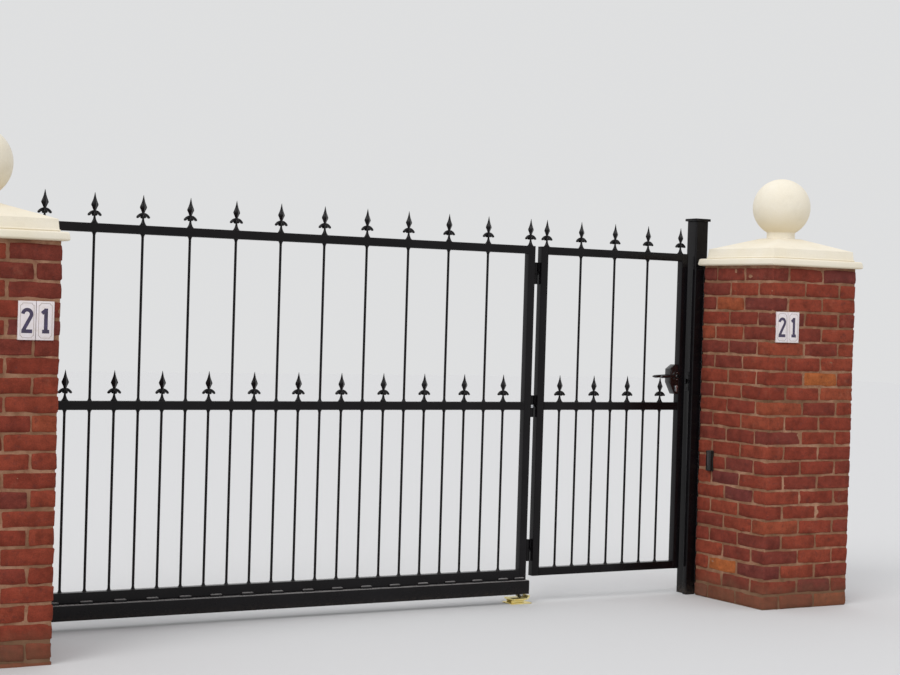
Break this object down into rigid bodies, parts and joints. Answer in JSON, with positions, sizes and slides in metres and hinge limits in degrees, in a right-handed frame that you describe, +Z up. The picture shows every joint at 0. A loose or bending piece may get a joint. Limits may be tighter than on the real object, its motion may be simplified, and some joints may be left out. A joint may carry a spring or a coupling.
{
  "type": "sliding driveway gate with pedestrian gate and brick piers",
  "caption": "Black wrought iron driveway gate that slides on a cantilever beam and carries a hinged pedestrian gate, with its latch post and two brick piers.",
  "frame": {"origin": "middle of the latch post's foot, on the ground", "axes": "+X along the closed gate from the left pier to the latch post, +Y away from the road, +Z up"},
  "size_m": [5.6147, 0.884, 2.1883],
  "materials": {
    "black_gloss_paint": "gloss",
    "red_brick": null,
    "cast_stone": "cast stone, matt",
    "glazed_tile": "white glaze",
    "black_plastic": "satin",
    "plated_steel": "bright zinc plate",
    "dark_steel": "oiled steel",
    "yellow_zinc": "yellow passivated zinc plate",
    "white_nylon": "satin"
  },
  "bodies": {
    "posts": {"left_pier": "red_brick", "left_pier_cap": "cast_stone", "left_pier_ball": "cast_stone", "right_pier": "red_brick", "right_pier_cap": "cast_stone", "right_pier_ball": "cast_stone", "number_tiles": "glazed_tile", "photocell": "black_plastic", "latch_post": "black_gloss_paint", "latch_post_cap": "black_gloss_paint", "closing_strip": "black_gloss_paint", "lock_keep": "plated_steel", "end_catch": "yellow_zinc", "roller_carriages": "plated_steel", "carriage_rollers": "dark_steel", "guide_post": "black_gloss_paint", "guide_bracket": "black_gloss_paint", "guide_rollers": "white_nylon"},
    "sliding_leaf": {"track_beam": "black_gloss_paint", "beam_ends": "black_gloss_paint", "nose_wheel": "plated_steel", "leading_stile": "black_gloss_paint", "tail_stile": "black_gloss_paint", "leaf_top_rail": "black_gloss_paint", "leaf_mid_rail": "black_gloss_paint", "leaf_bottom_rail": "black_gloss_paint", "leaf_full_bars": "black_gloss_paint", "leaf_dog_bars": "black_gloss_paint", "leaf_top_finials": "black_gloss_paint", "leaf_dog_finials": "black_gloss_paint", "hinge_pins": "black_gloss_paint"},
    "pedestrian_gate": {"wicket_hinge_stile": "black_gloss_paint", "wicket_lock_stile": "black_gloss_paint", "wicket_top_rail": "black_gloss_paint", "wicket_mid_rail": "black_gloss_paint", "wicket_bottom_rail": "black_gloss_paint", "wicket_full_bars": "black_gloss_paint", "wicket_dog_bars": "black_gloss_paint", "wicket_top_finials": "black_gloss_paint", "wicket_dog_finials": "black_gloss_paint", "hinge_barrels": "black_gloss_paint", "lock_case": "black_gloss_paint", "lock_bolt": "plated_steel", "key_cylinder": "plated_steel"},
    "lever_handles": {"front_lever": "black_gloss_paint", "back_lever": "black_gloss_paint"}
  },
  "joints": [
    {"name": "gate_slide", "type": "slide", "parent": "posts", "child": "sliding_leaf", "axis": [-1, 0, 0], "range_m": [0, 2.65]},
    {"name": "pedestrian_gate_hinge", "type": "hinge", "parent": "sliding_leaf", "child": "pedestrian_gate", "pos_m": [-1.01, 0.01, 1], "axis": [0, 0, 1], "range_deg": [0, 90]},
    {"name": "lever_turn", "type": "hinge", "parent": "pedestrian_gate", "child": "lever_handles", "pos_m": [-0.127, 0, 1.148], "axis": [0, -1, 0], "range_deg": [0, 45], "stiffness_Nm_per_rad": 1.5, "springref_deg": -28.65}
  ]
}
